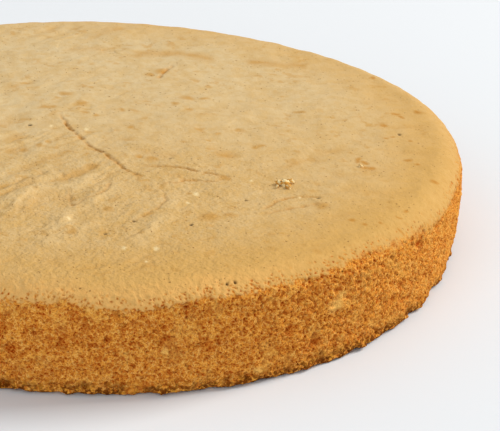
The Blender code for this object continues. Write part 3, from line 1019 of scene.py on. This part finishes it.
def make_cake(material):
    """The cake's surface, in pieces of moderate size: the underside, the wall in quarters, and the skin."""
    form = sponge_surface()
    middle = (form.places[:2].min(axis=1) + form.places[:2].max(axis=1)) / 2
    centre = (np.array(LOW) + np.array(HIGH)) / 2
    form.places[:2] += (centre[:2] - middle)[:, None]
    normals = point_normals(form.places, form.triangles)
    at = form.run[form.triangles].mean(axis=1)
    front = np.sin(form.angle[form.triangles]).mean(axis=1) < 0
    left = np.cos(form.angle[form.triangles]).mean(axis=1) < 0
    wall = (at >= RUN_AT_UNDERSIDE) & (at < RUN_AT_TOP_EDGE)
    inner = at >= RUN_AT_INNER_TOP
    pieces = {
        "crumb_underside": at < RUN_AT_UNDERSIDE,
        "crumb_wall_front_left": wall & front & left,
        "crumb_wall_front_right": wall & front & ~left,
        "crumb_wall_back_left": wall & ~front & left,
        "crumb_wall_back_right": wall & ~front & ~left,
        "baked_skin_rim": (at >= RUN_AT_TOP_EDGE) & ~inner,
        "baked_skin_front": inner & front,
        "baked_skin_back": inner & ~front,
    }
    for name, chosen in pieces.items():
        piece = surface_piece(name, form, normals, form.triangles[chosen], material)
        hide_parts("sponge_cake")
        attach(piece, "root")


class Tree:
    """A short way to write a material's nodes."""

    def __init__(self, name):
        self.material = bpy.data.materials.new(name)
        self.material.use_nodes = True
        self.nodes = self.material.node_tree.nodes
        self.links = self.material.node_tree.links
        self.shader = self.nodes["Principled BSDF"]

    def add(self, kind, output, settings=None, **inputs):
        """Adds a node, sets it and its inputs, and returns the named output."""
        node = self.nodes.new(kind)
        for name, value in (settings or {}).items():
            setattr(node, name, value)
        for name, value in inputs.items():
            self.put(node.inputs[name.replace("_", " ")], value)
        return node.outputs[output]

    def put(self, socket, value):
        """Links a socket to another, or sets its number or colour."""
        if isinstance(value, bpy.types.NodeSocket):
            self.links.new(value, socket)
        else:
            socket.default_value = value

    def fact(self, name):
        """What each point of the mesh carries under the given name."""
        return self.add("ShaderNodeAttribute", "Fac", {"attribute_name": name})

    def place(self):
        return self.add("ShaderNodeTexCoord", "Object")

    def noise(self, length, detail=2.0):
        return self.add("ShaderNodeTexNoise", "Fac", Vector=self.place(), Scale=1 / length, Detail=detail)

    def pattern(self, length, detail, low, high, to_low=0.0, to_high=1.0):
        """Patches of noise, which set in at the low value and are full at the high one."""
        return self.ranged(self.noise(length, detail), low, high, to_low, to_high)

    def two_sided(self, kind, operation, first, second):
        """A node that joins two values or vectors in one operation."""
        node = self.nodes.new(kind)
        node.operation = operation
        self.put(node.inputs[0], first)
        self.put(node.inputs[1], second)
        return node.outputs[0]

    def math(self, operation, first, second):
        return self.two_sided("ShaderNodeMath", operation, first, second)

    def vector_math(self, operation, first, second):
        return self.two_sided("ShaderNodeVectorMath", operation, first, second)

    def times(self, first, second):
        return self.math("MULTIPLY", first, second)

    def scattered(self, size, feature):
        """The distances within cells of the given size, which are bent out of shape."""
        bend = self.add("ShaderNodeTexNoise", "Color", Vector=self.place(), Scale=1 / size, Detail=1.0)
        moved = self.vector_math("MULTIPLY", bend, (CELL_BEND * size,) * 3)
        place = self.vector_math("ADD", self.place(), moved)
        settings = {"feature": feature}
        return self.add("ShaderNodeTexVoronoi", "Distance", settings, Vector=place, Scale=1 / size)

    def cells(self, size):
        """Cells of the given size, 1 in the middle of each and 0 where they meet."""
        return self.ranged(self.scattered(size, "DISTANCE_TO_EDGE"), *CELL_WALL)

    def dots(self, size, reach):
        """A dot in every cell of the given size, 1 in its middle and 0 outside its reach."""
        return self.ranged(self.scattered(size, "F1"), reach, DOT_CORE * reach)

    def ranged(self, value, low, high, to_low=0.0, to_high=1.0):
        """A soft step from one number at the low value to another at the high one."""
        node = self.nodes.new("ShaderNodeMapRange")
        node.interpolation_type = "SMOOTHSTEP"
        numbers = (value, low, high, to_low, to_high)
        for name, number in zip(("Value", "From Min", "From Max", "To Min", "To Max"), numbers):
            self.put(node.inputs[name], number)
        return node.outputs["Result"]

    def between(self, share, first, second):
        """A soft step from the first number, where the share is 0, to the second, where it is 1."""
        return self.ranged(share, 0.0, 1.0, first, second)

    def total(self, *weighted):
        """The sum of some values, each times its weight."""
        weight, value = weighted[0]
        summed = self.times(value, weight)
        for weight, value in weighted[1:]:
            summed = self.math("ADD", summed, self.times(value, weight))
        return summed

    def mix(self, share, first, second):
        node = self.nodes.new("ShaderNodeMix")
        node.data_type = "RGBA"
        self.put(node.inputs["Factor"], share)
        self.put(node.inputs[6], first)
        self.put(node.inputs[7], second)
        return node.outputs[2]

    def tinted(self, under, colour, where, strength=1.0):
        """One colour laid over another where a value says so, at the given strength."""
        return self.mix(self.times(where, strength), under, colour)

    def bump(self, length, detail, strength, distance):
        """A normal that noise of the given length disturbs."""
        height = self.noise(length, detail)
        return self.add("ShaderNodeBump", "Normal", Height=height, Strength=strength, Distance=distance)


def skin_colour(tree):
    """Pale and golden patches of several sizes, blushes and stains, and the skin's small marks, with painted
    shade in its grain, folds, creases and holes, painted light on its crests and above its edge, and a
    painted sheen on its back.
    """
    # painted shade of the fine grain, strongest on the rough skin, in place of part of its bump
    speckle_shade = tree.times(tree.pattern(*SKIN_SPECKLE), tree.between(tree.fact("rough"), *SPECKLE_RANGE))
    patches, mottle = tree.pattern(*SKIN_PATCHES), tree.pattern(*SKIN_MOTTLE)
    golden = tree.total((0.25, patches), (0.40, mottle), (0.52, speckle_shade))
    skin = tree.mix(golden, SKIN_PALE, SKIN_GOLD)
    # baked at the rim and browner to the front; the paler back is a painted sheen
    skin = tree.tinted(skin, SKIN_BAKED, tree.fact("baked"), strength=0.9)
    # painted shade in the folds' valleys and painted light on their crests
    skin = tree.mix(tree.ranged(tree.fact("fold"), *FOLD_VALLEY_SHADE), skin, SKIN_BLUSH_AND_VALLEY_SHADE)
    skin = tree.mix(tree.ranged(tree.fact("fold"), *FOLD_CREST_LIGHT), skin, SKIN_RIDGE_LIGHT)
    blush = tree.times(tree.pattern(*BLUSHES), tree.pattern(*BLUSHED_AREAS))
    skin = tree.tinted(skin, SKIN_BLUSH_AND_VALLEY_SHADE, blush, strength=0.55)
    # painted light on the skin just above its edge
    edge_light = tree.times(tree.fact("edge"), tree.pattern(*EDGE_MOTTLE))
    skin = tree.mix(edge_light, skin, SKIN_EDGE_LIGHT)
    skin = tree.tinted(skin, SKIN_BLUSH_AND_VALLEY_SHADE, tree.fact("stain"), strength=0.85)
    skin = tree.tinted(skin, FLECK, tree.fact("fleck"), strength=0.8)
    # painted shade in tiny pinpricks, drawn in colour only
    pinprick_shade = tree.times(tree.dots(SKIN_DOT_CELL, SKIN_DOT_REACH), tree.pattern(*DOTTED_AREAS))
    skin = tree.tinted(skin, SKIN_PINPRICK_SHADE, pinprick_shade, strength=0.9)
    skin = tree.tinted(skin, FRECKLE, tree.fact("freckle"), strength=0.85)
    # painted shade in the bottoms of the creases
    skin = tree.tinted(skin, CREASE_SHADE, tree.fact("crease"), strength=0.9)
    # painted shade in the pinholes
    return tree.mix(tree.fact("pinhole"), skin, PINHOLE_SHADE)


def crumb_colour(tree):
    """Light threads, partly a painted highlight, between orange pores in painted shade, some finer than the
    mesh holds, with pale and browned drifts.
    """
    pit = tree.fact("pit")
    # painted shade in the pores, also in pores finer than the mesh holds
    depth = tree.total((0.50, pit), (0.35, tree.cells(SMALL_CELL)), (0.30, tree.pattern(*CRUMB_GRAIN)))
    crumb = tree.tinted(CRUMB_WALLS, CRUMB_PORE_SHADE_AND_BROWN, depth, strength=1.15)
    # paler threads between the pores, with a painted highlight on them
    off_thread = tree.math("ABSOLUTE", tree.math("SUBTRACT", tree.noise(*THREADS), 0.5), 0.0)
    lit_thread = tree.times(tree.ranged(off_thread, THREAD_WIDTH, 0.0), tree.ranged(pit, *THREAD_PITS))
    crumb = tree.tinted(crumb, PALE_LIT_THREAD, lit_thread, strength=0.6)
    crumb = tree.tinted(crumb, CRUMB_PALE, tree.pattern(*PALE_DRIFTS), strength=0.20)
    crumb = tree.tinted(crumb, CRUMB_PORE_SHADE_AND_BROWN, tree.pattern(*BROWNED_DRIFTS), strength=0.25)
    crumb = tree.tinted(crumb, CRUMB_PATCH, tree.fact("pale"), strength=0.7)
    return with_foot(tree, crumb)


def with_foot(tree, crumb):
    """The crumb's colour with the foot's yellow grains, toasted grains and toasted pits."""
    foot = tree.fact("foot")
    yellow = tree.times(tree.pattern(*YELLOW_GRAINS), foot)
    crumb = tree.tinted(crumb, FOOT_YELLOW, yellow, strength=0.7)
    grains = tree.times(tree.pattern(*TOASTED_PATCHES), tree.pattern(*TOASTED_SPOTS))
    pits = tree.times(tree.fact("toasted"), TOASTED_PIT)
    return tree.mix(tree.math("MAXIMUM", tree.times(grains, foot), pits), crumb, FOOT_TOASTED)


def sponge_material():
    """Skin and crumb in one material, each point of the mesh saying which it is."""
    tree = Tree("baked sponge")
    crumb = tree.fact("crumb")
    tree.put(tree.shader.inputs["Base Color"], tree.mix(crumb, skin_colour(tree), crumb_colour(tree)))
    tree.put(tree.shader.inputs["Roughness"], tree.between(crumb, SKIN_ROUGHNESS, CRUMB_ROUGHNESS))
    tree.shader.inputs["Specular IOR Level"].default_value = SPONGE_SHINE
    rough = tree.math("MAXIMUM", crumb, tree.times(tree.fact("rough"), ROUGH_SKIN_BUMP))
    rough = tree.between(rough, *COARSE_BUMP)
    coarse = tree.bump(length=0.0013, detail=3.0, strength=rough, distance=0.0007)
    fine = tree.between(crumb, *FINE_BUMP)
    fine = tree.bump(length=0.0006, detail=2.0, strength=fine, distance=0.0006)
    tree.put(fine.node.inputs["Normal"], coarse)
    tree.put(tree.shader.inputs["Normal"], fine)
    return tree.material


def crumb_material():
    """The loose crumbs, mottled pale and golden."""
    tree = Tree("loose crumb")
    colour = tree.mix(tree.pattern(*LOOSE_MOTTLE), LOOSE_PALE, LOOSE_GOLD)
    tree.put(tree.shader.inputs["Base Color"], colour)
    tree.shader.inputs["Roughness"].default_value = MATT
    tree.shader.inputs["Specular IOR Level"].default_value = LOOSE_CRUMB_SHINE
    bumps = tree.bump(length=0.0004, detail=3.0, strength=0.6, distance=0.0003)
    tree.put(tree.shader.inputs["Normal"], bumps)
    return tree.material


def lump(size, channel):
    """The points and faces of one ragged crumb."""
    ball = bmesh.new()
    bmesh.ops.create_icosphere(ball, subdivisions=3, radius=1.0)
    points = np.array([v.co for v in ball.verts]).T
    faces = np.array([[v.index for v in face.verts] for face in ball.faces])
    ball.free()
    (wide, wide_size), (narrow, narrow_size) = LUMP_SWELLS
    waves = wide_size * swells(points + channel, wide, channel)
    waves += narrow_size * swells(points, narrow, channel + 3)
    points *= CRUMB_MEAN_RADIUS + waves
    points[2] *= CRUMB_SQUASH
    return points * size / 2, faces


def make_crumbs(material):
    """All the crumbs that lie on the skin, as one piece."""
    top = RIM_HEIGHT + DOME_RISE
    points, faces, start = [], [], 0
    for number, (x, y, size) in enumerate(CRUMBS):
        made, corners = lump(size, FIRST_CRUMB_CHANNEL + CHANNELS_PER_CRUMB * number)
        distance = math.hypot(x, y) / (RADIUS - SHOULDER_WIDTH)
        made += np.array([[x], [y], [top - DOME_RISE * distance**2 + CRUMB_RISE * size]])
        points.append(made)
        faces.append(corners + start)
        start += made.shape[1]
    mesh = bpy.data.meshes.new("crumbs_on_skin")
    mesh.from_pydata(np.concatenate(points, axis=1).T.tolist(), [], np.concatenate(faces).tolist())
    mesh.shade_smooth()
    mesh.materials.append(material)
    piece = placed("crumbs_on_skin", mesh)
    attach(piece, "root")


def make_floor():
    """A plain pale floor, wide enough to fill the view."""
    mesh = bpy.data.meshes.new("floor")
    far = FLOOR_REACH
    mesh.from_pydata([(-far, -far, 0), (far, -far, 0), (far, far, 0), (-far, far, 0)], [], [(0, 1, 2, 3)])
    floor = placed("floor", mesh)
    tree = Tree("pale floor")
    tree.shader.inputs["Base Color"].default_value = FLOOR_COLOUR
    tree.shader.inputs["Roughness"].default_value = MATT
    mesh.materials.append(tree.material)


def area_light(name, place, size, power, colour):
    """A square light that faces the middle of the cake's base."""
    data = bpy.data.lights.new(name, "AREA")
    data.size = size
    data.energy = power
    data.color = colour
    light = placed(name, data)
    light.location = place
    light.rotation_euler = (-Vector(place)).to_track_quat("-Z", "Y").to_euler()


def make_light():
    """A window behind on the right, a weak fill in front on the left, and the light of the room."""
    scene = bpy.context.scene
    scene.view_settings.view_transform = "Standard"
    world = bpy.data.worlds.new("studio")
    world.use_nodes = True
    background = world.node_tree.nodes["Background"]
    background.inputs["Color"].default_value = ROOM_COLOUR
    background.inputs["Strength"].default_value = ROOM_STRENGTH
    scene.world = world
    area_light("window", place=(2.55, 0.8, 1.85), size=1.2, power=100, colour=(1.0, 0.97, 0.93))
    area_light("fill", place=(-1.2, -2.5, 1.3), size=2.0, power=28, colour=(0.98, 0.99, 1.0))


def make_camera():
    """The photograph's view."""
    data = bpy.data.cameras.new("camera")
    data.sensor_width = CAMERA_SENSOR
    data.lens = CAMERA_LENS
    data.clip_start = CAMERA_NEAR
    camera = placed("camera", data)
    turn = Matrix((CAMERA_RIGHT, CAMERA_UP, CAMERA_RIGHT.cross(CAMERA_UP))).transposed().to_4x4()
    camera.matrix_world = Matrix.Translation(CAMERA_PLACE) @ turn
    bpy.context.scene.camera = camera


make_camera()
make_light()
make_floor()
make_cake(sponge_material())
make_crumbs(crumb_material())
